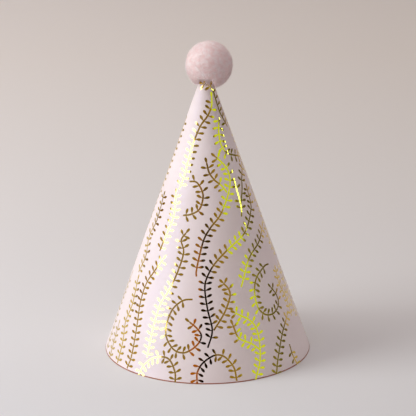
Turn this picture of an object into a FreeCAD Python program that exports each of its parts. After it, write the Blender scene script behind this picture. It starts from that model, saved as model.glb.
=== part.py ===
"""A cone party hat: one sheet of card printed with vines in gold foil, rolled into a cone and
glued along an overlap at the back, with its tip cut off and a pompom held on the tip by a
plug of hot-melt glue.
Millimetres, +Z up. The origin is the middle of the rim, in the plane that the hat stands on.
The front of the hat faces -Y, and the seam is at the back, at +Y."""
import FreeCAD, Part
import math
import os
import Sketcher

V = FreeCAD.Vector
UPRIGHT = FreeCAD.Placement(V(0, 0, 0), FreeCAD.Rotation(V(0, 0, 1), 0))
doc = FreeCAD.newDocument("cone_party_hat")

# Driving dimensions, each set once. Lengths are in millimetres and angles in degrees.
DIMENSIONS = [
    ("rim_diameter", 110.0),         # outside of the card at the rim, left to right
    ("apex_height", 158.5),          # where the outer sides would meet if the tip weren't cut
    ("tip_radius", 3.2),             # outside of the card where the tip is cut off
    ("card_thickness", 0.4),
    ("overlap_angle", 14.0),         # the flap that laps over the back, seen from above
    ("seam_glue_thickness", 0.1),
    ("seam_glue_edge_angle", 1.5),   # bare strip along each side of the seam glue
    ("seam_glue_end_margin", 3.0),   # bare strip at the rim and at the tip
    ("plug_depth", 8.0),             # how far the hot-melt plug fills the tip from inside
    ("plug_cap", 0.8),               # glue squeezed out between the tip and the pompom
    ("pompom_diameter", 25.2),
    ("pompom_sink", 5.28),           # depth of the socket that the tip pushes into the pompom
    ("pompom_shift", 1.7),           # the pompom sits a little to the right of the axis
    ("pompom_tuft_depth", 0.9),      # how far the pompom dips between its tufts
    ("socket_clearance", 0.05),
    ("foil_thickness", 0.1),         # at the ridge of a stem or leaf, from which it thins out
    ("foil_margin", 0.5),            # bare card along the rim, the flap and the pompom
    ("stem_width", 0.6),
    ("leaf_length", 3.8),
    ("leaf_width", 1.5),
    ("leaf_gap", 0.2),               # between the stem and the root of a leaf
    ("leaf_spacing", 5.4),           # from pair to pair along the stem
    ("leaf_angle", 68.0),            # between a leaf and the way its stem grows
    ("leaf_clearance", 2.0),         # a leaf with another this near its middle is left off
]
sheet = doc.addObject("Spreadsheet::Sheet", "Sizes")
for row, (alias, value) in enumerate(DIMENSIONS, start=1):
    sheet.set(f"A{row}", alias)
    sheet.set(f"B{row}", str(value))
    sheet.setAlias(f"B{row}", alias)
doc.recompute()

# What follows from the driving dimensions. Everything here is measured across, in the plane
# of the rim: a wall that leans is wider across than it is thick.
SLOPE = "(Sizes.rim_diameter / 2 / Sizes.apex_height)"
LEAN = f"sqrt(1 + {SLOPE} * {SLOPE})"
WALL = f"(Sizes.card_thickness * {LEAN})"
SEAM = f"(Sizes.seam_glue_thickness * {LEAN})"
STEP = f"(({WALL} + {SEAM}) / 2)"               # the roll grows by this in each half turn
RIM_RADIUS = f"(Sizes.rim_diameter / 2 - {STEP} / 2)"
TIP_HEIGHT = f"(Sizes.apex_height * (1 - Sizes.tip_radius * 2 / Sizes.rim_diameter))"
CAP_TOP = f"({TIP_HEIGHT} + Sizes.plug_cap)"
POMPOM_BOTTOM = f"({CAP_TOP} - Sizes.pompom_sink)"


def number(expression):
    """What an expression comes to with the sheet's values."""
    return float(sheet.evalExpression(expression))


def wall_section(body, name, axis_y, rim_radius):
    """The section of the leaning card wall, in an upright plane that holds its own axis."""
    sketch = body.newObject("Sketcher::SketchObject", name)
    plane = [f for f in body.Origin.OriginFeatures if f.Role == "YZ_Plane"][0]
    sketch.AttachmentSupport = [(plane, "")]
    sketch.MapMode = "FlatFace"
    sketch.setExpression(".AttachmentOffset.Base.x", axis_y)
    sketch.setExpression(".AttachmentOffset.Base.z", f"{STEP} / 2")
    # Roughly where the corners are. The constraints below put them in their places.
    rim_outer, rim_inner, tip_inner, tip_outer = V(55, 0), V(54, 0), V(3, 149), V(4, 149)
    corners = [rim_outer, rim_inner, tip_inner, tip_outer]
    for start, end in zip(corners, corners[1:] + corners[:1]):
        sketch.addGeometry(Part.LineSegment(start, end), False)
    for line in range(4):
        sketch.addConstraint(Sketcher.Constraint("Coincident", line, 2, (line + 1) % 4, 1))
    sketch.addConstraint(Sketcher.Constraint("PointOnObject", 0, 1, -1))
    sketch.addConstraint(Sketcher.Constraint("Horizontal", 0))
    sketch.addConstraint(Sketcher.Constraint("Horizontal", 2))
    tip_radius = f"({rim_radius} - {SLOPE} * {TIP_HEIGHT})"
    for kind, line, value, label, expression in [
        ("DistanceX", 0, rim_outer.x, "rim_outer", rim_radius),
        ("DistanceX", 1, rim_inner.x, "rim_inner", f"{rim_radius} - {WALL}"),
        ("DistanceX", 2, tip_inner.x, "tip_inner", f"{tip_radius} - {WALL}"),
        ("DistanceX", 3, tip_outer.x, "tip_outer", tip_radius),
        ("DistanceY", 3, tip_outer.y, "tip_height", TIP_HEIGHT),
    ]:
        constraint = sketch.addConstraint(Sketcher.Constraint(kind, -1, 1, line, 1, value))
        sketch.renameConstraint(constraint, label)
        sketch.setExpression(f"Constraints.{label}", expression)
    return sketch


def turned(body, name, sketch, angle, clockwise):
    """Turns a wall section about the upright axis of its own sketch, from the back."""
    feature = body.newObject("PartDesign::Revolution", name)
    feature.Profile = sketch
    feature.ReferenceAxis = (sketch, ["V_Axis"])
    feature.Reversed = clockwise
    feature.setExpression("Angle", angle)


def card_cone():
    """One sheet, rolled. The second half turn is a half cone one step wider than the first,
    about an axis one step further back, so the halves run smoothly into each other and the
    flap lands one film of glue outside the first layer."""
    body = doc.addObject("PartDesign::Body", "card_cone")
    under = wall_section(body, "under_section", f"-{STEP}", RIM_RADIUS)
    turned(body, "under_half", under, "180", True)
    over = wall_section(body, "over_section", "0", f"({RIM_RADIUS} + {STEP})")
    turned(body, "over_half", over, "180", False)
    flap = wall_section(body, "flap_section", f"-{STEP}", f"({RIM_RADIUS} + 2 * {STEP})")
    turned(body, "flap", flap, "Sizes.overlap_angle", True)
    return body


def frustum(name, low, high, low_radius, placed_on=()):
    """An upright cone cut off at both heights, with the slope of the hat's sides."""
    cone = doc.addObject("Part::Cone", name)
    cone.Placement = UPRIGHT
    cone.setExpression("Height", f"{high} - {low}")
    cone.setExpression("Radius1", low_radius)
    cone.setExpression("Radius2", f"{low_radius} - {SLOPE} * ({high} - {low})")
    cone.setExpression("Placement.Base.z", low)
    for path, expression in placed_on:
        cone.setExpression(path, expression)
    return cone


def cut(name, base, tool):
    feature = doc.addObject("Part::Cut", name)
    feature.Base = base
    feature.Tool = tool
    return feature


def seam_glue():
    """The film of glue that holds the flap on the layer under it, clear of all its edges."""
    low = "Sizes.seam_glue_end_margin"
    high = f"({TIP_HEIGHT} - Sizes.seam_glue_end_margin)"
    inner_radius = f"({RIM_RADIUS} - {SLOPE} * {low})"
    in_seam = [
        ("Angle", "Sizes.overlap_angle - 2 * Sizes.seam_glue_edge_angle"),
        ("Placement.Rotation.Angle", "90 - Sizes.overlap_angle + Sizes.seam_glue_edge_angle"),
        ("Placement.Base.x", f"{STEP} / 2"),
        ("Placement.Base.y", f"-{STEP}"),
    ]
    outside = frustum("glue_outside", low, high, f"({inner_radius} + {SEAM})", in_seam)
    inside = frustum("glue_inside", low, high, inner_radius, in_seam)
    return cut("seam_glue", outside, inside)


def pompom_glue():
    """Hot-melt glue that fills the tip against the card and stands proud under the pompom.
    Each half of the filling has the axis and the inner radius of the half turn around it."""
    low = f"({TIP_HEIGHT} - Sizes.plug_depth)"
    inner_radius = f"({RIM_RADIUS} - {WALL} - {SLOPE} * {low})"
    under = [
        ("Angle", "180"),
        ("Placement.Rotation.Angle", "270"),
        ("Placement.Base.x", f"{STEP} / 2"),
        ("Placement.Base.y", f"-{STEP}"),
    ]
    over = [
        ("Angle", "180"),
        ("Placement.Rotation.Angle", "90"),
        ("Placement.Base.x", f"{STEP} / 2"),
    ]
    glue = doc.addObject("Part::MultiFuse", "pompom_glue")
    glue.Shapes = [
        frustum("glue_under_half", low, TIP_HEIGHT, inner_radius, under),
        frustum("glue_over_half", low, TIP_HEIGHT, f"({inner_radius} + {STEP})", over),
        frustum("glue_cap", TIP_HEIGHT, CAP_TOP, "Sizes.tip_radius"),
    ]
    return glue


def faceted(corners, triangles):
    """A solid with flat triangular faces, each given by its corners' places in the list."""
    faces = []
    for triangle in triangles:
        loop = [corners[place] for place in triangle + triangle[:1]]
        faces.append(Part.Face(Part.makePolygon(loop)))
    solid = Part.Solid(Part.Shell(faces))
    if solid.Volume < 0:
        solid.reverse()
    return solid


def icosahedron():
    """The twenty triangles of a regular icosahedron with a corner straight up, as unit vectors."""
    belt_height = 1 / math.sqrt(5)
    belt_radius = 2 / math.sqrt(5)
    top = V(0, 0, 1)
    bottom = V(0, 0, -1)
    upper = []
    lower = []
    for side in range(5):
        angle = math.radians(72 * side)
        upper.append(V(belt_radius * math.cos(angle), belt_radius * math.sin(angle), belt_height))
        angle += math.radians(36)
        lower.append(V(belt_radius * math.cos(angle), belt_radius * math.sin(angle), -belt_height))
    triangles = []
    for side in range(5):
        after = (side + 1) % 5
        triangles.append((top, upper[side], upper[after]))
        triangles.append((upper[side], lower[side], upper[after]))
        triangles.append((upper[after], lower[side], lower[after]))
        triangles.append((lower[side], bottom, lower[after]))
    return triangles


def tufted_ball(radius, tuft_depth):
    """A ball of tufts: each of twenty triangles is divided into sixteen, and every small
    triangle has a tuft at its corners and dips in between them."""
    rows = 4
    corners = []
    triangles = []
    for a, b, c in icosahedron():
        def tuft(down, across):
            spot = a * (rows - down) + b * (down - across) + c * across
            return spot.normalize() * radius
        for down in range(rows):
            for across in range(down + 1):
                small = [[tuft(down, across), tuft(down + 1, across), tuft(down + 1, across + 1)]]
                if across < down:
                    small.append([tuft(down, across), tuft(down + 1, across + 1), tuft(down, across + 1)])
                for first, second, third in small:
                    dip = (first + second + third).normalize() * (radius - tuft_depth)
                    start = len(corners)
                    corners += [first, second, third, dip]
                    for i, j in [(0, 1), (1, 2), (2, 0)]:
                        triangles.append((start + i, start + j, start + 3))
    return faceted(corners, triangles)


def pompom_socket():
    """The hollow that the glued tip has pushed into the pompom: flat sides around a cone that
    is clear of the card."""
    sides = 20
    clearance = f"(Sizes.tip_radius + {STEP} + Sizes.socket_clearance)"
    mouth = number(f"{POMPOM_BOTTOM} - Sizes.socket_clearance")
    corners = []
    for height in (mouth, number(CAP_TOP)):
        across = number(f"{clearance} + {SLOPE} * ({TIP_HEIGHT} - {height})")
        for side in range(sides):
            angle = 2 * math.pi * side / sides
            around = V(math.cos(angle), math.sin(angle), 0)
            corners.append(around * (across / math.cos(math.pi / sides)) + V(0, 0, height))
    triangles = []
    for side in range(sides):
        after = (side + 1) % sides
        triangles.append((side, after, after + sides))
        triangles.append((side, after + sides, side + sides))
        if 0 < side < after:
            triangles.append((0, after, side))
            triangles.append((sides, side + sides, after + sides))
    return faceted(corners, triangles)


def pompom():
    """The ball of fibres, without its socket."""
    ball = doc.addObject("Part::Feature", "ball")
    ball.Shape = tufted_ball(sheet.pompom_diameter / 2, sheet.pompom_tuft_depth)
    ball.setExpression("Placement.Base.x", "Sizes.pompom_shift")
    ball.setExpression("Placement.Base.z", f"{POMPOM_BOTTOM} + Sizes.pompom_diameter / 2")
    socket = doc.addObject("Part::Feature", "socket")
    socket.Shape = pompom_socket()
    return cut("pompom", ball, socket)


# The vines are drawn on the flat sheet. Each point is an angle round the hat from its front,
# in degrees, and a height up the slope from the rim, in millimetres, and each vine runs from
# its root to its tip. The number after the points is the bare length at the root.
DRAWN_SLOPE = 167.8   # from the rim to the apex on the sheet that they are drawn for
PIECE_TURN = 12       # one straight piece of a stem goes no further round the hat than this
VINES = [
    # round the tip
    ([(-40, 100), (-36, 108), (-31, 123), (-24, 130), (-15, 135), (5, 140), (22, 145)], 2),
    ([(70, 132), (54, 140), (45, 149), (5, 152)], 2),
    ([(44, 138), (33, 132), (31, 126), (43, 119), (76, 115)], 1),
    # up the front, each from the one before it
    ([(0, 19), (3, 28), (-2, 50), (7, 63), (21, 70), (40, 76), (54, 83), (67, 97)], 5),
    ([(-9, 56), (-9, 60), (-4, 74), (3, 81), (24, 94), (34, 102), (37, 108), (17, 118)], 4),
    ([(28, 99), (12, 106), (0, 115)], 2),
    ([(-28, 87), (-9, 91), (-5, 97), (-15, 105), (-26, 105)], 1),
    ([(4, 28), (12, 37), (17, 45), (11, 54)], 2),
    ([(-11, 44), (-18, 43), (-25, 38), (-28, 30), (-21, 17), (-7, 20), (-4, 25), (-12, 32)], 5),
    # from the rim, left to right
    ([(-75, 1), (-74, 18)], 1),
    ([(-61, 1), (-62, 13), (-66, 23), (-64, 33), (-67, 46)], 1),
    ([(-51, 1), (-50, 9), (-55, 37), (-54, 47), (-42, 62)], 1),
    ([(-38, 10), (-38, 22), (-36, 38), (-25, 58), (-22, 68), (-22, 78)], 1),
    ([(-18, 1), (-19, 6), (-24, 12), (-33, 11), (-41, 1)], 1),
    ([(16, 1), (15, 8), (4, 15), (-3, 11), (-6, 2)], 1),
    ([(27, 1), (32, 10), (34, 22), (31, 30), (20, 36)], 2),
    ([(33, 15), (28, 19), (17, 30)], 2),
    ([(41, 1), (45, 8), (54, 19), (65, 26)], 1),
    ([(72, 24), (73, 34), (69, 43), (71, 50)], 1),
    ([(84, 20), (80, 34), (84, 50)], 1),
    ([(98, 1), (95, 14), (92, 28), (94, 44)], 1),
    # across the sides
    ([(62, 56), (43, 52), (38, 45), (38, 37), (51, 31), (60, 39), (56, 44)], 5),
    ([(27, 49), (36, 60), (57, 69), (74, 75)], 4),
    ([(42, 85), (45, 91), (44, 101)], 4),
    ([(45, 91), (54, 98), (62, 104), (75, 109)], 2),
    ([(-48, 66), (-44, 76), (-40, 86), (-44, 97)], 1),
    ([(-70, 50), (-66, 60), (-72, 70), (-66, 80), (-68, 93)], 1),
    ([(-88, 92), (-86, 110), (-86, 134)], 1),
    ([(86, 56), (82, 68), (88, 80), (84, 92)], 1),
]


def smooth(points, pieces_between):
    """Points along a smooth line through all of the given ones."""
    ends = [points[0] * 2 - points[1]] + points + [points[-1] * 2 - points[-2]]
    line = []
    for before, start, end, after, pieces in zip(ends, ends[1:], ends[2:], ends[3:], pieces_between):
        for piece in range(pieces):
            t = piece / pieces
            bend = before * 2 - start * 5 + end * 4 - after
            turn = start * 3 - before - end * 3 + after
            line.append((start * 2 + (end - before) * t + bend * t ** 2 + turn * t ** 3) * 0.5)
    return line + [points[-1]]


def foil_vines():
    """Vines printed in gold foil over the whole sheet, twice round. Stems and leaves thin out
    from a ridge to their edges and stand on the outer face of the card, clear of the edge of
    the flap. A leaf is a kite, narrow at the stem, with its ridge rising to its tip."""
    slope = number(SLOPE)
    lean = number(LEAN)
    step = number(STEP)
    rim_radius = number(RIM_RADIUS)
    whole_slope = sheet.apex_height * lean
    fan = slope / lean              # a turn on the flat sheet, as a share of one round the hat
    flap_edge = 180 - sheet.overlap_angle
    scale = whole_slope / DRAWN_SLOPE

    def on_sheet(turn, rise):
        angle = math.radians(turn) * fan
        return V(math.sin(angle), -math.cos(angle), 0) * (whole_slope - rise)

    def on_hat(spot):
        turn = math.degrees(math.atan2(spot.x, -spot.y) / fan)
        turn = (turn + 180) % 360 - 180
        return turn, whole_slope - spot.Length

    def layer(turn):
        if turn > flap_edge:
            return "flap"
        return "under" if turn > 0 else "over"

    layers = {
        "under": (-step, rim_radius),
        "over": (0, rim_radius + step),
        "flap": (-step, rim_radius + 2 * step),
    }

    def on_card(spot, face, proud):
        axis_y, radius = layers[face]
        turn, rise = on_hat(spot)
        angle = math.radians(turn)
        outwards = V(math.sin(angle), -math.cos(angle), 0)
        along = V(step / 2, axis_y, rise / lean) + outwards * (radius - slope * rise / lean)
        return along + (outwards + V(0, 0, slope)) * (proud / lean)

    lowest = sheet.foil_margin
    highest = number(POMPOM_BOTTOM) * lean - sheet.foil_margin

    def fits(spots, face):
        """Whether these spots of the sheet are all on one layer, and clear of its edges."""
        for spot in spots:
            turn, rise = on_hat(spot)
            margin = math.degrees(sheet.foil_margin / (fan * spot.Length))
            if not lowest < rise < highest:
                return False
            if abs(turn - flap_edge) < margin or (turn > flap_edge) != (face == "flap"):
                return False
        return True

    def bulge(first, second):
        """How far the card stands out between two spots of a flat piece on it."""
        turned = first.getAngle(second) / fan
        return fan * (first.Length + second.Length) / 2 * (1 - math.cos(turned / 2))

    solids = []
    taken = []
    widest = 0.7                    # where a leaf is, as a share of its length from the root

    def add_leaf(root, heading):
        side = V(-heading.y, heading.x, 0) * (sheet.leaf_width / 2)
        middle = root + heading * (sheet.leaf_length * widest)
        tip = root + heading * sheet.leaf_length
        face = layer(on_hat(middle)[0])
        spot = on_card(middle, face, 0)
        crowded = any(spot.distanceToPoint(other) < sheet.leaf_clearance for other in taken)
        if crowded or not fits([root, middle - side, tip, middle + side], face):
            return
        taken.append(spot)
        lift = max(bulge(root, middle), bulge(middle - side, middle + side))
        outline = [on_card(corner, face, lift) for corner in (root, middle - side, middle + side)]
        ridge = on_card(tip, face, lift + sheet.foil_thickness)
        solids.append(faceted(outline + [ridge], [(0, 2, 1), (0, 1, 3), (1, 2, 3), (2, 0, 3)]))

    def add_stem(line):
        """A strip along a line that stays on the sheet."""
        corners = []
        for place, spot in enumerate(line):
            before = line[max(place - 1, 0)]
            after = line[min(place + 1, len(line) - 1)]
            heading = after - before
            side = V(-heading.y, heading.x, 0).normalize() * (sheet.stem_width / 2)
            face = layer(on_hat(spot)[0])
            lift = max(bulge(before, spot), bulge(spot, after))
            corners.append(on_card(spot - side, face, lift))
            corners.append(on_card(spot + side, face, lift))
            corners.append(on_card(spot, face, lift + sheet.foil_thickness))
        triangles = [(0, 2, 1)]
        for start in range(0, len(corners) - 3, 3):
            for i, j in [(0, 1), (1, 2), (2, 0)]:
                triangles.append((start + i, start + j, start + j + 3))
                triangles.append((start + i, start + j + 3, start + i + 3))
        last = len(corners) - 3
        triangles.append((last, last + 1, last + 2))
        solids.append(faceted(corners, triangles))

    stems = []
    for half_round in (0, 180):
        for points, bare in VINES:
            spots = [on_sheet(turn + half_round, rise * scale) for turn, rise in points]
            turns = [abs(start[0] - end[0]) for start, end in zip(points, points[1:])]
            pieces = [math.ceil(turn / PIECE_TURN) or 1 for turn in turns]
            stems.append((smooth(spots, pieces), bare * scale))
    for line, _ in stems:
        runs = [[]]
        last_turn = on_hat(line[0])[0]
        for spot in line:
            turn = on_hat(spot)[0]
            over_the_edge = (turn > flap_edge) != (last_turn > flap_edge)
            fitting = fits([spot], layer(turn))
            if not fitting or over_the_edge and abs(turn - last_turn) < 180:
                runs.append([])
            if fitting:
                runs[-1].append(spot)
                taken.append(on_card(spot, layer(turn), 0))
            last_turn = turn
        for run in runs:
            if len(run) > 1:
                add_stem(run)
    for line, bare in stems:
        along = bare
        for start, end in zip(line, line[1:]):
            length = (end - start).Length
            heading = (end - start).normalize()
            while along < length:
                spot = start + heading * along
                for turn in (sheet.leaf_angle, -sheet.leaf_angle):
                    way = FreeCAD.Rotation(V(0, 0, 1), turn).multVec(heading)
                    add_leaf(spot + way * (sheet.stem_width / 2 + sheet.leaf_gap), way)
                along += sheet.leaf_spacing
            along -= length
        add_leaf(line[-1] + heading * sheet.leaf_gap, heading)

    vines = doc.addObject("Part::Feature", "foil_vines")
    vines.Shape = Part.Compound(solids)
    return vines


pieces = [card_cone(), seam_glue(), foil_vines(), pompom_glue(), pompom()]
doc.recompute()

# Every feature has to have worked, and every piece has to be closed, before any is written.
for item in doc.Objects:
    if "Invalid" in item.State or "Error" in item.State:
        raise RuntimeError(f"{item.Label} failed: {item.State}")
for piece in pieces:
    if piece.Shape.isNull() or not piece.Shape.isValid() or not piece.Shape.Solids:
        raise RuntimeError(f"{piece.Label} has no valid solid")

os.makedirs("parts", exist_ok=True)
for piece in pieces:
    piece.Shape.exportStep(f"parts/{piece.Label}.step")
    box = piece.Shape.BoundBox
    print(f"{piece.Label}: {len(piece.Shape.Solids)} solid, {piece.Shape.Volume:.1f} mm3, "
          f"z {box.ZMin:.2f} to {box.ZMax:.2f}")
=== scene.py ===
"""The looks of a cone party hat: a rolled card printed with vines in gold foil, and a pompom.
Everything is in metres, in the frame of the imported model: the hat stands on z = 0, its front
faces -Y and its glued overlap is at the back."""
import bmesh
import bpy
import math
import random
from mathutils import Matrix, Vector, noise


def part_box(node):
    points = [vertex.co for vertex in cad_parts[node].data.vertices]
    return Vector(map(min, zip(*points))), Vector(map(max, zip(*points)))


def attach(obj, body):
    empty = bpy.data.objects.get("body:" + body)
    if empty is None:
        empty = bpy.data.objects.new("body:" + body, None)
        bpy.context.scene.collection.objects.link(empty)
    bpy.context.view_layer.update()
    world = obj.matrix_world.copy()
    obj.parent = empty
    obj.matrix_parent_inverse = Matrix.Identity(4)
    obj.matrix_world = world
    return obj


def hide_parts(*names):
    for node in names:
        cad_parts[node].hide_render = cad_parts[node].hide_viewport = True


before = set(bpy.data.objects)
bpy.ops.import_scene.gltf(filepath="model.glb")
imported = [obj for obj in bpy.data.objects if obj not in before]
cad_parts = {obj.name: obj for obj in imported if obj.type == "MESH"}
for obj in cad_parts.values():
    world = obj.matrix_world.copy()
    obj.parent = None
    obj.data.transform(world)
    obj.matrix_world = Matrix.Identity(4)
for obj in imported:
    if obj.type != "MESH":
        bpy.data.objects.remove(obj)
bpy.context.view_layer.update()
MM = 0.001


# The card. One sheet of coated board, printed on its outer side, cut out as a fan, and rolled
# once round and a little over. Its outer end laps over the inner one at the back and is glued.
# It is spun as the real one is rolled: the flap, then each half turn about its own axis.
RIM_RADIUS = 55 * MM
APEX_HEIGHT = 158.5 * MM
CARD_THICKNESS = 0.4 * MM
SEAM_GLUE_THICKNESS = 0.1 * MM
RIM_SHADE_HEIGHT = 0.6 * MM                         # painted shade: how far up from the rim its foot is darkened where it stands on the table
RIM_ROUNDING = 0.18 * MM                     # the rim is crushed round by standing on it
EDGE_ROUNDING = 0.04 * MM                    # the other cut edges are still crisp
SHARP = math.radians(45)                     # an edge that bends more than this is rounded
FACE_ON = 0.9                                # a cut edge looks in or out by less than this
OVERLAP = 14                                 # degrees
TIP_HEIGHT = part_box("card_cone")[1][2]
SLOPE = RIM_RADIUS / APEX_HEIGHT
LEAN = math.hypot(1, SLOPE)
WHOLE_SLOPE = APEX_HEIGHT * LEAN             # from the rim to the apex, along the card
FAN = SLOPE / LEAN                           # a turn on the flat sheet per turn round the hat
STEP = (CARD_THICKNESS + SEAM_GLUE_THICKNESS) * LEAN / 2    # from one half turn to the next
FLAP_EDGE = 180 - OVERLAP                    # turns are counted along the sheet from here
SHEET_END = 540
LAYERS = [                                   # (turn at its end, axis y, outer radius at the rim)
    (180, -STEP, RIM_RADIUS + STEP * 1.5),
    (360, 0, RIM_RADIUS + STEP * 0.5),
    (SHEET_END, -STEP, RIM_RADIUS - STEP * 0.5),
]


def direction(turn):
    """Outwards at a turn in degrees, which starts at the front and goes round by +X."""
    angle = math.radians(turn)
    return Vector((math.sin(angle), -math.cos(angle), 0))


def linear(hex_colour):
    """An sRGB hex colour as linear red, green, blue and alpha."""
    shares = [int(hex_colour[i:i + 2], 16) / 255 for i in (0, 2, 4)]
    return [s / 12.92 if s <= 0.04045 else ((s + 0.055) / 1.055) ** 2.4 for s in shares] + [1]


def add(tree, kind, links=(), **settings):
    """A node with its settings, and with links from other nodes' outputs to its inputs."""
    node = tree.nodes.new(kind)
    for name, value in settings.items():
        if hasattr(node, name):
            setattr(node, name, value)
        else:
            node.inputs[name.replace("_", " ")].default_value = value
    for source, output, socket in links:
        tree.links.new(source.outputs[output], node.inputs[socket])
    return node


def new_material(name):
    """A material that has no nodes yet, and its node tree."""
    material = bpy.data.materials.new(name)
    material.use_nodes = True
    material.node_tree.nodes.clear()
    return material, material.node_tree


def coated_board():
    """Printed board with a satin coating: a smooth, faintly uneven, pale pink-white surface."""
    material, tree = new_material("coated_printed_board")
    place = add(tree, "ShaderNodeTexCoord")
    mottle = add(tree, "ShaderNodeTexNoise", [(place, "Object", "Vector")],
                 Scale=1 / (18 * MM), Detail=2)
    tint = add(tree, "ShaderNodeValToRGB", [(mottle, "Fac", "Fac")])
    tint.color_ramp.elements[0].position = 0.35
    tint.color_ramp.elements[0].color = linear("f0e2e0")
    tint.color_ramp.elements[1].position = 0.65
    tint.color_ramp.elements[1].color = linear("f3e6e4")
    fibres = add(tree, "ShaderNodeTexNoise", [(place, "Object", "Vector")],
                 Scale=1 / (0.9 * MM), Detail=3)
    bump = add(tree, "ShaderNodeBump", [(fibres, "Fac", "Height")],
               Strength=0.05, Distance=0.1 * MM)
    shader = add(tree, "ShaderNodeBsdfPrincipled",
                 [(tint, "Color", "Base Color"), (bump, "Normal", "Normal")],
                 Roughness=0.5, IOR=1.5)
    add(tree, "ShaderNodeOutputMaterial", [(shader, "BSDF", "Surface")])
    return material


def bare_board():
    """The uncoated back of the board: matt, with short fibres and a few specks."""
    material, tree = new_material("uncoated_board_back")
    place = add(tree, "ShaderNodeTexCoord")
    fibres = add(tree, "ShaderNodeTexNoise", [(place, "Object", "Vector")],
                 Scale=1 / (0.7 * MM), Detail=6)
    tint = add(tree, "ShaderNodeValToRGB", [(fibres, "Fac", "Fac")])
    tint.color_ramp.elements[0].position = 0.3
    tint.color_ramp.elements[0].color = linear("d9d2c8")
    tint.color_ramp.elements[1].position = 0.7
    tint.color_ramp.elements[1].color = linear("ebe6de")
    bump = add(tree, "ShaderNodeBump", [(fibres, "Fac", "Height")], Strength=0.3, Distance=0.1 * MM)
    shader = add(tree, "ShaderNodeBsdfPrincipled",
                 [(tint, "Color", "Base Color"), (bump, "Normal", "Normal")],
                 Roughness=0.9, IOR=1.5)
    add(tree, "ShaderNodeOutputMaterial", [(shader, "BSDF", "Surface")])
    return material


def cut_edge_and_rim_shade():
    """The guillotined edge of the board, in the rose-brown pulp of its core, faintly streaked. The
    same colour is painted round the foot of the outer side, as the shade where the rim stands on
    the table."""
    material, tree = new_material("cut_edge_and_painted_rim_shade")
    place = add(tree, "ShaderNodeTexCoord")
    pulp = add(tree, "ShaderNodeTexNoise", [(place, "Object", "Vector")],
               Scale=1 / (0.3 * MM), Detail=4)
    tint = add(tree, "ShaderNodeValToRGB", [(pulp, "Fac", "Fac")])
    tint.color_ramp.elements[0].position = 0.3
    tint.color_ramp.elements[0].color = linear("985a42")
    tint.color_ramp.elements[1].position = 0.7
    tint.color_ramp.elements[1].color = linear("b87a60")
    shader = add(tree, "ShaderNodeBsdfPrincipled", [(tint, "Color", "Base Color")],
                 Roughness=0.95, IOR=1.5)
    add(tree, "ShaderNodeOutputMaterial", [(shader, "BSDF", "Surface")])
    return material


def finished(name, bm, materials, slot, *nodes):
    """Makes a bmesh a piece that rides on the hat and stands for the CAD nodes given."""
    mesh = bpy.data.meshes.new(name)
    bm.to_mesh(mesh)
    bm.free()
    piece = bpy.data.objects.new(name, mesh)
    bpy.context.scene.collection.objects.link(piece)
    for material in materials:
        mesh.materials.append(material)
    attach(piece, "root")
    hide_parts(*nodes)


PRINTED, BARE, PULP_AND_RIM_SHADE = range(3)                # the order of the card's materials


def rolled_card():
    """The section of the sheet at the flap's edge, spun along the roll, with rounded edges."""
    bm = bmesh.new()
    wall = CARD_THICKNESS * LEAN
    start = direction(FLAP_EDGE)
    _, axis_y, radius = LAYERS[0]
    axis = Vector((STEP / 2, axis_y, 0))
    tip_radius = radius - SLOPE * TIP_HEIGHT
    section = [
        bm.verts.new(axis + start * radius),
        bm.verts.new(axis + start * tip_radius + Vector((0, 0, TIP_HEIGHT))),
        bm.verts.new(axis + start * (tip_radius - wall) + Vector((0, 0, TIP_HEIGHT))),
        bm.verts.new(axis + start * (radius - wall)),
    ]
    bm.faces.new(section)
    edges = [bm.edges.get(pair) for pair in zip(section, section[1:] + section[:1])]
    leading = section + edges
    turned = FLAP_EDGE
    for end, axis_y, _ in LAYERS:
        spun = bmesh.ops.spin(
            bm, geom=leading, cent=(STEP / 2, axis_y, 0), axis=(0, 0, 1),
            angle=math.radians(end - turned), steps=end - turned)
        leading = [g for g in spun["geom_last"] if not isinstance(g, bmesh.types.BMFace)]
        turned = end
    bm.faces.new([g for g in leading if isinstance(g, bmesh.types.BMVert)])
    bmesh.ops.recalc_face_normals(bm, faces=bm.faces)
    for lowest, highest, rounding in (
            (-RIM_ROUNDING, RIM_ROUNDING / 2, RIM_ROUNDING),
            (RIM_ROUNDING * 2, APEX_HEIGHT, EDGE_ROUNDING)):
        corners = [
            edge for edge in bm.edges if edge.calc_face_angle(0) > SHARP
            and lowest < max(vert.co.z for vert in edge.verts) < highest]
        bmesh.ops.bevel(
            bm, geom=corners, offset=rounding, segments=2, profile=0.5, affect="EDGES",
            material=-1)
    # the outer side is split where the painted shade round its foot ends
    bmesh.ops.bisect_plane(
        bm, geom=bm.verts[:] + bm.edges[:] + bm.faces[:], plane_co=(0, 0, RIM_SHADE_HEIGHT),
        plane_no=(0, 0, 1))
    for face in bm.faces:
        face.smooth = True
        centre = face.calc_center_median()
        outwards = face.normal.dot(Vector((centre.x, centre.y, 0)).normalized())
        # cut edges get the pulp's colour, and so does the foot of the outer side, as painted shade
        # where it stands on the table
        pulp_or_painted_shade = abs(outwards) < FACE_ON or centre.z < RIM_SHADE_HEIGHT
        face.material_index = PULP_AND_RIM_SHADE if pulp_or_painted_shade else PRINTED if outwards > 0 else BARE
    return bm


finished(
    "rolled_card", rolled_card(), [coated_board(), bare_board(), cut_edge_and_rim_shade()], "card", "card_cone")


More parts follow.
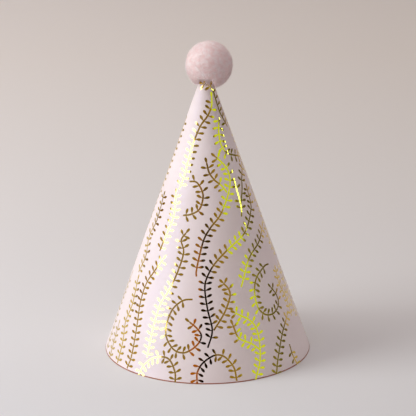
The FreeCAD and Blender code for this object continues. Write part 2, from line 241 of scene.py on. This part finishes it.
# The glue. A film of hot-melt glue is pressed flat between the two layers of the overlap, set
# back from their edges, so that it shows only as a thin milky line in the joint. A plug of the
# same glue fills the tip and holds the pompom.
def hot_melt():
    """Set hot-melt glue: milky, a little yellow, with a soft gloss."""
    material, tree = new_material("hot_melt_glue")
    place = add(tree, "ShaderNodeTexCoord")
    cloud = add(tree, "ShaderNodeTexNoise", [(place, "Object", "Vector")],
                Scale=1 / (2 * MM), Detail=2)
    tint = add(tree, "ShaderNodeValToRGB", [(cloud, "Fac", "Fac")])
    tint.color_ramp.elements[0].color = linear("e6dfcd")
    tint.color_ramp.elements[1].color = linear("f2eee2")
    bump = add(tree, "ShaderNodeBump", [(cloud, "Fac", "Height")], Strength=0.4, Distance=0.2 * MM)
    shader = add(tree, "ShaderNodeBsdfPrincipled",
                 [(tint, "Color", "Base Color"), (bump, "Normal", "Normal")],
                 Roughness=0.35, IOR=1.49, Subsurface_Weight=0.3, Subsurface_Scale=1 * MM)
    add(tree, "ShaderNodeOutputMaterial", [(shader, "BSDF", "Surface")])
    return material


glue = hot_melt()
for node in ("seam_glue", "pompom_glue"):
    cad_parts[node].data.materials.clear()
    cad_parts[node].data.materials.append(glue)


# The vines. Gold foil stamped on the flat sheet before it is rolled: thin stems with pairs of
# small leaves. They are drawn on the flat sheet, cut where it ends, given the foil's thickness
# and then rolled with it.

# A vine's points run from its root to its tip, each with its turn round the hat from the front,
# in degrees, and its height up the slope, in millimetres. The last number is the length of bare
# stem at its root, in millimetres.
VINES = [
    # round the tip
    ([(-40, 100), (-36, 108), (-34, 116), (-31, 123), (-24, 130), (-15, 135), (5, 140),
      (22, 145), (27, 149)], 2),
    ([(70, 132), (54, 140), (49, 148), (45, 153), (31, 155), (5, 156), (-25, 156.5)], 2),
    ([(44, 138), (33, 132), (31, 126), (35, 122), (43, 119), (58, 117), (76, 115)], 1),
    # up the front, each from the one before it
    ([(0, 19), (3, 28), (0, 39), (-2, 50), (0, 56), (7, 63), (21, 70), (40, 76), (54, 83),
      (64, 89), (67, 97)], 5),
    ([(-9, 56), (-9, 60), (-4, 74), (3, 81), (14, 87), (24, 94), (34, 102), (37, 108), (32, 113),
      (17, 118)], 4),
    ([(28, 99), (21, 103), (12, 106), (4, 110), (0, 115)], 2),
    ([(-28, 87), (-19, 88), (-9, 91), (-5, 97), (-7, 101), (-15, 105), (-26, 105)], 1),
    ([(4, 28), (12, 37), (17, 45), (16.5, 49), (13, 52)], 2),
    ([(-11, 44), (-18, 43), (-25, 38), (-28, 30), (-27, 23), (-21, 17), (-14, 16), (-7, 20),
      (-4, 25), (-7, 29), (-12, 32)], 5),
    # from the rim, left to right
    ([(-72, 0), (-75, 18)], 1),
    ([(-61, 1), (-62, 13), (-66, 23), (-64, 33), (-67, 46)], 1),
    ([(-51, 1), (-50, 9), (-52, 24), (-55, 37), (-54, 47), (-49, 54), (-42, 62)], 1),
    ([(-38, 10), (-38, 22), (-36, 38), (-30, 48), (-25, 58), (-22, 68), (-26, 74), (-22, 78)], 1),
    ([(-18, 0), (-19, 6), (-24, 12), (-33, 11), (-39, 6), (-41, 1)], 1),
    ([(16, 1), (15, 8), (10, 14), (4, 15), (-3, 11), (-6, 6), (-6, 2)], 1),
    ([(27, 0), (32, 10), (34, 22), (31, 30), (20, 36)], 2.4),
    ([(33, 15), (28, 19), (20, 23), (17, 30)], 2),
    ([(41, 0), (45, 8), (54, 19), (65, 26)], 0),
    ([(58, 12), (58, 6), (60, 0)], 4),
    ([(72, 24), (73, 34), (69, 43), (71, 50)], 1),
    ([(84, 20), (80, 34), (84, 50)], 1),
    ([(98, 1), (95, 14), (92, 28), (94, 44)], 1),
    # across the sides
    ([(62, 56), (55, 56), (43, 52), (38, 45), (38, 37), (43, 32), (51, 31), (59, 34), (60, 39),
      (56, 44)], 5),
    ([(27, 49), (31, 54), (36, 60), (44, 65), (57, 69), (74, 75)], 4),
    ([(42, 85), (45, 91), (44, 101)], 4),
    ([(45, 91), (54, 98), (62, 104), (75, 109)], 2),
    ([(-48, 66), (-44, 76), (-40, 86), (-44, 97)], 1),
    ([(-70, 50), (-66, 60), (-72, 70), (-66, 80), (-68, 93)], 1),
    ([(-88, 92), (-86, 110), (-86, 134)], 1),
    ([(86, 56), (82, 68), (88, 80), (84, 92)], 1),
]
STEM_WIDTH = 0.88 * MM
LEAF_LENGTH = 3.2 * MM
LEAF_WIDTH = 1.35 * MM
LEAF_SPACING = 3.55 * MM                     # from pair to pair along the stem
LEAF_ANGLE = 70                              # between a leaf and the way its stem grows
LEAF_CLEARANCE = 1.7 * MM                    # a leaf with another this near its middle is left off
LEAF_ROOT = 0.55                             # how far off the stem's middle it is, in widths
LEAF_MIDDLE = 0.6                            # how far along the leaf its middle is taken
LEAF_OUTLINE = [0.3, 0.46, 0.7, 0.9, 1.0, 0.98, 0.82, 0.4]  # shares of its width, from its root
FIRST_LEAVES = 0.5 * MM                      # from the bare length to the first pair
STEM_PIECE = 1 * MM                          # about how far apart the spots along a stem are
FOIL_THICKNESS = 0.03 * MM
CUT_MARGIN = 0.1 * MM                        # the foil ends this far from the rim and the tip
FLAP_MARGIN = 0.05 * MM                      # and this far from the flap's edge
PATTERN_TURNS = (0, 180, 360, 540)           # the pattern is printed once for each half turn
COVERED_FROM = FLAP_EDGE + 360               # the rest of the sheet is under the flap
MIDDLE_TURN = (FLAP_EDGE + SHEET_END) / 2    # where the sheet's own middle line is


def on_sheet(turn, rise):
    """Where a turn and a rise are on the flat sheet, which has the apex at its origin."""
    angle = math.radians(turn - MIDDLE_TURN) * FAN
    return Vector((math.sin(angle), -math.cos(angle), 0)) * (WHOLE_SLOPE - rise)


def rolled(spot):
    """A spot of the flat sheet, rolled into the hat. Its z is how far it stands off the card."""
    turn = math.degrees(math.atan2(spot.x, -spot.y) / FAN) + MIDDLE_TURN
    height = (WHOLE_SLOPE - math.hypot(spot.x, spot.y)) / LEAN
    _, axis_y, radius = next(
        layer for layer in LAYERS if turn <= layer[0] or layer is LAYERS[-1])
    outwards = direction(turn)
    on_card = Vector((STEP / 2, axis_y, height)) + outwards * (radius - SLOPE * height)
    return on_card + (outwards + Vector((0, 0, SLOPE))) * (spot.z / LEAN)


def along_vine(points, turns_before):
    """Evenly spaced spots on the flat sheet, along a smooth line through a vine's points."""
    knots = [on_sheet(turn + turns_before, rise * MM) for turn, rise in points]
    ends = [knots[0] * 2 - knots[1]] + knots + [knots[-1] * 2 - knots[-2]]
    line = []
    for before, start, end, after in zip(ends, ends[1:], ends[2:], ends[3:]):
        pieces = max(1, round((end - start).length / STEM_PIECE))
        for piece in range(pieces):
            t = piece / pieces
            bend = before * 2 - start * 5 + end * 4 - after
            twist = start * 3 - before - end * 3 + after
            line.append((start * 2 + (end - before) * t + bend * t ** 2 + twist * t ** 3) / 2)
    return line + [knots[-1]]


def leaf_shape():
    """A leaf's mesh on the flat sheet: its root at the origin, and its tip along +X."""
    bm = bmesh.new()
    pieces = len(LEAF_OUTLINE) - 1
    half = 0.5
    bmesh.ops.create_grid(bm, x_segments=pieces, y_segments=2, size=half)
    for vert in bm.verts:
        along = vert.co.x + half
        vert.co.x = along * LEAF_LENGTH
        vert.co.y *= LEAF_WIDTH * LEAF_OUTLINE[round(along * pieces)]
    mesh = bpy.data.meshes.new("leaf_shape")
    bm.to_mesh(mesh)
    bm.free()
    return mesh


def flat_print():
    """All the stems on the flat sheet, and a leaf wherever there is room for one."""
    bm = bmesh.new()
    leaf = leaf_shape()
    taken = []

    def add_leaf(root, heading):
        middle = root + heading * LEAF_LENGTH * LEAF_MIDDLE
        if any((middle - other).length < LEAF_CLEARANCE for other in taken):
            return
        taken.append(middle)
        first = len(bm.verts)
        bm.from_mesh(leaf)
        bm.verts.ensure_lookup_table()
        place = Matrix.Translation(root) @ Matrix.Rotation(math.atan2(heading.y, heading.x), 4, "Z")
        bmesh.ops.transform(bm, matrix=place, verts=bm.verts[first:])

    stems = []
    for turns_before in PATTERN_TURNS:
        for points, bare in VINES:
            turns = [turn + turns_before for turn, _ in points]
            if max(turns) > FLAP_EDGE and min(turns) < COVERED_FROM:
                stems.append((along_vine(points, turns_before), bare * MM))
    for line, _ in stems:
        taken.extend(line[::2])
        rails = []
        for place, spot in enumerate(line):
            heading = line[min(place + 1, len(line) - 1)] - line[max(place - 1, 0)]
            side = Vector((-heading.y, heading.x, 0)).normalized() * STEM_WIDTH / 2
            rails.append((bm.verts.new(spot - side), bm.verts.new(spot + side)))
        for (right, left), (next_right, next_left) in zip(rails, rails[1:]):
            bm.faces.new((right, next_right, next_left, left))
    for line, bare in stems:
        along = bare + FIRST_LEAVES
        for start, end in zip(line, line[1:]):
            length = (end - start).length
            heading = (end - start).normalized()
            while along < length:
                spot = start + heading * along
                for turn in (LEAF_ANGLE, -LEAF_ANGLE):
                    way = Matrix.Rotation(math.radians(turn), 3, "Z") @ heading
                    add_leaf(spot + way * STEM_WIDTH * LEAF_ROOT, way)
                along += LEAF_SPACING
            along -= length
        add_leaf(line[-1], heading)
    return bm


def rolled_foil(bm):
    """The flat print, cut where the card's outer side ends, given its thickness and rolled."""
    for turn, outer_side in ((FLAP_EDGE, -1), (COVERED_FROM, 1)):
        edge = on_sheet(turn, 0)
        past_edge = Vector((-edge.y, edge.x, 0)).normalized() * outer_side
        bmesh.ops.bisect_plane(
            bm, geom=bm.verts[:] + bm.edges[:] + bm.faces[:], plane_co=-past_edge * FLAP_MARGIN,
            plane_no=past_edge, clear_outer=True)
    for vert in bm.verts:
        reach = vert.co.length
        nearest_rim = WHOLE_SLOPE - CUT_MARGIN
        nearest_tip = WHOLE_SLOPE - TIP_HEIGHT * LEAN + CUT_MARGIN
        vert.co *= min(max(reach, nearest_tip), nearest_rim) / reach
    thick = bmesh.ops.extrude_face_region(bm, geom=bm.faces[:])
    raised = [g for g in thick["geom"] if isinstance(g, bmesh.types.BMVert)]
    bmesh.ops.translate(bm, verts=raised, vec=(0, 0, FOIL_THICKNESS))
    for vert in bm.verts:
        vert.co = rolled(vert.co)
    bmesh.ops.recalc_face_normals(bm, faces=bm.faces)
    return bm


def gold_foil():
    """Hot-stamped foil: bright metal under yellow lacquer, smooth, with the print's fine grain."""
    material, tree = new_material("hot_stamped_gold_foil")
    place = add(tree, "ShaderNodeTexCoord")
    grain = add(tree, "ShaderNodeTexNoise", [(place, "Object", "Vector")],
                Scale=1 / (1.2 * MM), Detail=2)
    bump = add(tree, "ShaderNodeBump", [(grain, "Fac", "Height")], Strength=0.12, Distance=0.1 * MM)
    tint = add(tree, "ShaderNodeValToRGB", [(grain, "Fac", "Fac")])
    tint.color_ramp.elements[0].color = linear("dcba42")
    tint.color_ramp.elements[1].color = linear("e6c84c")
    shader = add(tree, "ShaderNodeBsdfPrincipled",
                 [(tint, "Color", "Base Color"), (bump, "Normal", "Normal")],
                 Metallic=1, Roughness=0.07, Coat_Weight=0.4, Coat_Roughness=0.04)
    add(tree, "ShaderNodeOutputMaterial", [(shader, "BSDF", "Surface")])
    return material


finished("foil_print", rolled_foil(flat_print()), [gold_foil()], "foil", "foil_vines")


# The pompom. A ball of short acrylic fibres, cut round, and tied at its middle. The tip of the
# hat is pushed into it from below and glued, which parts the fibres in front of the card. The
# ball is a shallow core, which stands for the dense roots, with loose fibres all over it.
POMPOM_RADIUS = 12.6 * MM
POMPOM_CENTRE = Vector((1.7 * MM, 0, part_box("pompom")[1][2] - POMPOM_RADIUS))
FIBRE_COUNT = 18000
FIBRE_LENGTH = 2.4 * MM
FIBRE_WIDTH = 0.16 * MM                      # coarser than real ones, so that they show
FIBRE_TIP_WIDTH = FIBRE_WIDTH * 0.2
CORE_DEPTH = FIBRE_LENGTH * 0.4              # from the ball's outside to its core
SHORTEST_FIBRE = 0.84                        # these three are shares of a fibre's length
TUFT_LENGTH = 0.3                            # how much longer or shorter the tufts make it
UNDERSIDE_LENGTH = 0.3                       # how much longer it is right underneath
STRAY = 0.2                                  # how far a fibre leans by chance
TUFT_LEAN = 0.3                              # how far it leans with its tuft
TUFTS = 14                                   # tufts in a radius of the ball
PRESS_STEPS = 20                             # what is in the card's way is pressed in by
DEEPEST_PRESS = 9                            # twentieths, until this many are left
PLUG_RISE = 0.8 * MM                         # how far the glue stands out of the tip
FIBRE_CLEARANCE = 0.3 * MM                   # between a fibre's end and the card
SIDE_CLEARANCE = 0.4 * MM                    # the same at the sides of the tip, from the front
FIBRE_SEED = 7
STEPS_BACK_PER_RISE = 3                      # from the camera's angle, three back look like one up


def acrylic_fibre():
    """Dyed acrylic plush: soft, matt fibres with a sheen where they are seen edge on."""
    material, tree = new_material("acrylic_plush_fibre")
    place = add(tree, "ShaderNodeTexCoord")
    clump = add(tree, "ShaderNodeTexNoise", [(place, "Object", "Vector")],
                Scale=1 / (2 * MM), Detail=3)
    tint = add(tree, "ShaderNodeValToRGB", [(clump, "Fac", "Fac")])
    tint.color_ramp.elements[0].position = 0.3
    tint.color_ramp.elements[0].color = linear("f9dcd8")
    tint.color_ramp.elements[1].position = 0.7
    tint.color_ramp.elements[1].color = linear("fff2f0")
    shader = add(tree, "ShaderNodeBsdfPrincipled", [(tint, "Color", "Base Color")],
                 Roughness=0.9, IOR=1.5, Sheen_Weight=0.5, Sheen_Roughness=0.4)
    add(tree, "ShaderNodeOutputMaterial", [(shader, "BSDF", "Surface")])
    return material


def clear_of_card(spot):
    """Whether a fibre's end is clear of the card's tip, and doesn't hang over it in front, seen
    from a little above."""
    card_radius = RIM_RADIUS + STEP - SLOPE * min(spot.z, TIP_HEIGHT)
    tip_radius = RIM_RADIUS + STEP - SLOPE * TIP_HEIGHT
    beside_card = math.hypot(spot.x, spot.y) > card_radius + FIBRE_CLEARANCE
    if spot.z < TIP_HEIGHT + PLUG_RISE and not beside_card:
        return False
    seen_height = spot.z + spot.y / STEPS_BACK_PER_RISE
    tip_seen_height = TIP_HEIGHT - tip_radius / STEPS_BACK_PER_RISE
    return (spot.y > 0 or abs(spot.x) > card_radius + SIDE_CLEARANCE
            or seen_height > tip_seen_height + FIBRE_CLEARANCE)


def share_clear_of_card(spot):
    """How much of the way from the pompom's middle to a spot the card leaves free."""
    for steps in range(PRESS_STEPS, DEEPEST_PRESS - 1, -1):
        if clear_of_card(POMPOM_CENTRE.lerp(spot, steps / PRESS_STEPS)):
            return steps / PRESS_STEPS
    return 0


def plush_ball():
    """The core and its fibres, evenly spread, with what is in the card's way pressed in."""
    bm = bmesh.new()
    bmesh.ops.create_icosphere(
        bm, subdivisions=5, radius=POMPOM_RADIUS - CORE_DEPTH,
        matrix=Matrix.Translation(POMPOM_CENTRE))
    for vert in bm.verts:
        vert.co = POMPOM_CENTRE + (vert.co - POMPOM_CENTRE) * share_clear_of_card(vert.co)
    fibre = bmesh.new()
    bmesh.ops.create_cone(
        fibre, cap_ends=True, segments=3, radius1=FIBRE_WIDTH / 2, radius2=FIBRE_TIP_WIDTH / 2,
        depth=FIBRE_LENGTH, matrix=Matrix.Translation((0, 0, FIBRE_LENGTH / 2)))
    shape = bpy.data.meshes.new("fibre_shape")
    fibre.to_mesh(shape)
    fibre.free()
    rng = random.Random(FIBRE_SEED)
    noise.seed_set(FIBRE_SEED)               # noise_vector starts from this, or from the clock
    golden = math.pi * (3 - math.sqrt(5))    # this turn from each to the next spreads them evenly
    verts = []
    faces = []
    corners = [vert.co.copy() for vert in shape.vertices]
    loops = [list(face.vertices) for face in shape.polygons]
    for number in range(FIBRE_COUNT):
        z = 1 - 2 * (number + 0.5) / FIBRE_COUNT
        around = golden * number
        level = Vector((math.cos(around), math.sin(around), 0))
        outwards = level * math.sqrt(1 - z * z) + Vector((0, 0, z))
        stray = Vector([rng.gauss(0, STRAY) for _ in range(3)])
        tuft = noise.noise(outwards * TUFTS)
        tuft_lean = noise.noise_vector(outwards * TUFTS) * TUFT_LEAN
        heading = (outwards + stray + tuft_lean).normalized()
        length = (
            rng.uniform(SHORTEST_FIBRE, 1.0) + TUFT_LENGTH * tuft - UNDERSIDE_LENGTH * min(z, 0))
        root = outwards * (POMPOM_RADIUS - FIBRE_LENGTH)
        share = share_clear_of_card(POMPOM_CENTRE + root + heading * FIBRE_LENGTH * length)
        if share:
            root = POMPOM_CENTRE + root * share
            turn = heading.to_track_quat("Z", "Y").to_matrix().to_4x4()
            place = Matrix.Translation(root) @ turn @ Matrix.Diagonal((1, 1, length, 1))
            first = len(verts)
            verts.extend(place @ corner for corner in corners)
            faces.extend([first + v for v in loop] for loop in loops)
    fibres = bpy.data.meshes.new("fibres")
    fibres.from_pydata(verts, [], faces)
    bm.from_mesh(fibres)
    for face in bm.faces:
        face.smooth = True
    return bm


finished("plush_pompom", plush_ball(), [acrylic_fibre()], "pompom", "pompom")


# The table top that the hat stands on: a wide sheet of matt backdrop paper, which fills the
# whole picture behind the hat.
TABLE_HALF_WIDTH = 6
MIX_A, MIX_B, MIX_RESULT = 6, 7, 2           # where a mix node has its sockets for colours
# The paper's colour carries painted light: lighter at the left, near the key lamp, and warmer
# towards the back.
PAINTED_LIGHT_DRIFTS = [                            # painted light: (axis, where it starts, where it ends, colours)
    ("X", -0.15, 0.15, ("f5f4f2", "e8e6e2")),
    ("Y", -0.1, 0.6, ("efeff1", "f4ede6")),
]


def paper_with_painted_light():
    """A roll of matt backdrop paper, pale grey, with painted light in its colour: lighter on the
    left near the key lamp and deeper to the right, and a painted warm light to the back.
    """
    material, tree = new_material("matt_paper_painted_light")
    place = add(tree, "ShaderNodeTexCoord")
    parts = add(tree, "ShaderNodeSeparateXYZ", [(place, "Object", "Vector")])
    painted_drifts = []
    for axis, start, end, colours in PAINTED_LIGHT_DRIFTS:
        along = add(tree, "ShaderNodeMapRange", [(parts, axis, "Value")])
        along.inputs["From Min"].default_value = start
        along.inputs["From Max"].default_value = end
        painted_drift = add(tree, "ShaderNodeValToRGB", [(along, "Result", "Fac")])
        for element, colour in zip(painted_drift.color_ramp.elements, colours):
            element.color = linear(colour)
        painted_drifts.append(painted_drift)
    tint = add(tree, "ShaderNodeMix", [(painted_drifts[0], "Color", MIX_A), (painted_drifts[1], "Color", MIX_B)],
               data_type="RGBA", blend_type="MULTIPLY")
    tint.inputs[0].default_value = 1
    shader = add(tree, "ShaderNodeBsdfPrincipled", [(tint, MIX_RESULT, "Base Color")],
                 Roughness=0.9, IOR=1.4)
    add(tree, "ShaderNodeOutputMaterial", [(shader, "BSDF", "Surface")])
    return material


table_mesh = bpy.data.meshes.new("table")
table_bm = bmesh.new()
bmesh.ops.create_grid(table_bm, x_segments=1, y_segments=1, size=TABLE_HALF_WIDTH)
table_bm.to_mesh(table_mesh)
table_bm.free()
table_mesh.materials.append(paper_with_painted_light())
table = bpy.data.objects.new("table", table_mesh)
bpy.context.scene.collection.objects.link(table)


# The studio light: a wide soft key lamp from the left and front, a second lamp above it, a weak
# fill from the right and back, and a wide lamp overhead. The lamps light the card, and the foil
# mirrors the room instead of them.
LIT_POINT = Vector((0, 0, 0.08))


def soft_lamp(name, place, size, power, colour="ffffff"):
    """A lamp turned to the hat. Its place and size are in metres, and its power in watts."""
    lamp = bpy.data.lights.new(name, "AREA")
    lamp.shape = "RECTANGLE"
    lamp.size, lamp.size_y = size
    lamp.energy = power
    lamp.color = linear(colour)[:3]
    holder = bpy.data.objects.new(name, lamp)
    holder.location = place
    holder.visible_glossy = False
    aim = LIT_POINT - Vector(place)
    holder.rotation_euler = aim.to_track_quat("-Z", "Y").to_euler()
    bpy.context.scene.collection.objects.link(holder)


soft_lamp("key_lamp", (-1.35, -0.42, 0.62), (0.9, 0.5), 11, "f6feff")
soft_lamp("side_lamp", (-1.2, -0.1, 1.15), (0.8, 0.8), 5.5)
soft_lamp("fill_lamp", (1.3, 0.75, 0.6), (0.6, 0.4), 1.6)
soft_lamp("top_lamp", (-0.3, 0.2, 1.9), (1.2, 1.2), 10)


# The room, as the foil mirrors it: walls in dim colours, a pale ceiling and what stands in front
# of them. Each thing there has its middle, counted from the front and round by +X, half width,
# lowest and highest edge and the blur of its edges, in degrees, its colour and its strength.
REFLECTIONS = [
    (-14, 7, -20, 17, 3, "c88030", 0.8),     # a wooden door
    (-1, 8, -20, 18.5, 3, "160a06", 1),      # the dark behind the camera
    (57, 17, 2, 26, 2.5, "d8ff60", 1.05),    # a window with leaves outside it
    (-73, 16, 5, 26, 1.5, "a6abff", 9),      # the key lamp's wide screen
    (88, 0.9, 10, 26, 1.2, "d8fff0", 6),     # a gap beside the window's curtain
]
WALL_COLOURS = [                             # (degrees from the front and round by +X, colour)
    (-170, "b8a8a4"), (-140, "b4a094"), (-120, "947a62"), (-100, "c0b090"), (-50, "a09490"),
    (-30, "9a8c6a"), (-8, "8c7a4c"), (8, "8c7a4c"), (30, "a09060"), (75, "8a8a60"),
    (97, "6c6e40"), (118, "64603e"), (138, "9a8868"), (156, "c8b088"),
]
CEILING_COLOUR = "9a9093"                    # also that of all light that isn't mirrored
WALL_TOP = math.radians(32)                  # where the walls start to fade into the ceiling
CEILING_EDGE = math.radians(50)              # and where they have
BACKDROP_COLOUR = "d6cec9"                   # what the camera sees past the table


def studio_room():
    """Dim warm walls and a pale ceiling round the table. Only mirrored light shows the walls
    and what stands in the room, and the camera sees plain paper in their place."""
    world = bpy.data.worlds.new("studio_room")
    world.use_nodes = True
    tree = world.node_tree
    tree.nodes.clear()

    def near(value, middle, half_width, blur):
        """1 where an angle is within the half width of the middle, and 0 past its blurred edge."""
        off = add(tree, "ShaderNodeMath", [(value, "Value", 0)], operation="SUBTRACT")
        off.inputs[1].default_value = math.radians(middle)
        distance = add(tree, "ShaderNodeMath", [(off, "Value", 0)], operation="ABSOLUTE")
        inside = add(tree, "ShaderNodeMapRange", [(distance, "Value", "Value")],
                     interpolation_type="SMOOTHSTEP")
        inside.inputs["From Min"].default_value = math.radians(half_width + blur)
        inside.inputs["From Max"].default_value = math.radians(half_width)
        return inside

    way = add(tree, "ShaderNodeTexCoord")
    path = add(tree, "ShaderNodeLightPath")
    parts = add(tree, "ShaderNodeSeparateXYZ", [(way, "Generated", "Vector")])
    front = add(tree, "ShaderNodeMath", [(parts, "Y", 0)], operation="MULTIPLY")
    front.inputs[1].default_value = -1
    turn = add(tree, "ShaderNodeMath", [(parts, "X", 0), (front, "Value", 1)], operation="ARCTAN2")
    rise = add(tree, "ShaderNodeMath", [(parts, "Z", 0)], operation="ARCSINE")
    share = add(tree, "ShaderNodeMapRange", [(turn, "Value", "Value")])
    share.inputs["From Min"].default_value = -math.pi
    share.inputs["From Max"].default_value = math.pi
    walls = add(tree, "ShaderNodeValToRGB", [(share, "Result", "Fac")])
    ramp = walls.color_ramp
    ramp.interpolation = "EASE"
    while len(ramp.elements) < len(WALL_COLOURS):
        ramp.elements.new(1)
    for element, (turn_there, colour) in zip(ramp.elements, WALL_COLOURS):
        element.position = (turn_there + 180) / 360
        element.color = linear(colour)
    up = add(tree, "ShaderNodeMapRange", [(parts, "Z", "Value")], interpolation_type="SMOOTHSTEP")
    up.inputs["From Min"].default_value = math.sin(WALL_TOP)
    up.inputs["From Max"].default_value = math.sin(CEILING_EDGE)
    unseen = add(tree, "ShaderNodeMath", [(path, "Is Glossy Ray", 1)], operation="SUBTRACT")
    unseen.inputs[0].default_value = 1
    plain = add(tree, "ShaderNodeMath", [(up, "Result", 0), (unseen, "Value", 1)],
                operation="MAXIMUM")
    room = add(tree, "ShaderNodeMix", [(plain, "Value", 0), (walls, "Color", MIX_A)],
               data_type="RGBA")
    room.inputs[MIX_B].default_value = linear(CEILING_COLOUR)
    for middle, half_width, lowest, highest, blur, colour, strength in REFLECTIONS:
        level = near(rise, (lowest + highest) / 2, (highest - lowest) / 2, blur)
        across = near(turn, middle, half_width, blur)
        there = add(tree, "ShaderNodeMath", [(across, "Result", 0), (level, "Result", 1)],
                    operation="MULTIPLY")
        mirrored = add(tree, "ShaderNodeMath", [(there, "Value", 0), (path, "Is Glossy Ray", 1)],
                       operation="MULTIPLY")
        room = add(tree, "ShaderNodeMix", [(mirrored, "Value", 0), (room, MIX_RESULT, MIX_A)],
                   data_type="RGBA")
        room.inputs[MIX_B].default_value = [part * strength for part in linear(colour)]
    light = add(tree, "ShaderNodeBackground", [(room, MIX_RESULT, "Color")], Strength=1)
    shown = add(tree, "ShaderNodeBackground", Color=linear(BACKDROP_COLOUR), Strength=1)
    either = add(tree, "ShaderNodeMixShader", [
        (path, "Is Camera Ray", 0), (light, "Background", 1), (shown, "Background", 2)])
    add(tree, "ShaderNodeOutputWorld", [(either, "Shader", "Surface")])
    return world


bpy.context.scene.world = studio_room()


# The camera, at the photograph's angle: fitted to the rim, the sides and the tip of the hat.
CAMERA_ELEVATION = math.radians(18.389)
CAMERA_ROLL = math.radians(-0.3213)
CAMERA_DISTANCE = 1400 * MM
LOOKED_AT = Vector((0.67 * MM, 0, 78.37 * MM))
SENSOR_WIDTH = 36                            # in millimetres, as the focal length is
FOCAL_LENGTH = 228.33
NEAREST_SEEN = 0.05
camera_data = bpy.data.cameras.new("camera")
camera_data.sensor_width = SENSOR_WIDTH
camera_data.lens = FOCAL_LENGTH
camera_data.clip_start = NEAREST_SEEN
camera = bpy.data.objects.new("camera", camera_data)
back = Vector((0, -math.cos(CAMERA_ELEVATION), math.sin(CAMERA_ELEVATION)))
upright = Matrix.Rotation(math.pi / 2 - CAMERA_ELEVATION, 4, "X")
rolled_over = Matrix.Rotation(CAMERA_ROLL, 4, "Z")
camera.matrix_world = (
    Matrix.Translation(LOOKED_AT + back * CAMERA_DISTANCE) @ upright @ rolled_over)
bpy.context.scene.collection.objects.link(camera)
bpy.context.scene.camera = camera

view = bpy.context.scene.view_settings
view.view_transform = "Standard"
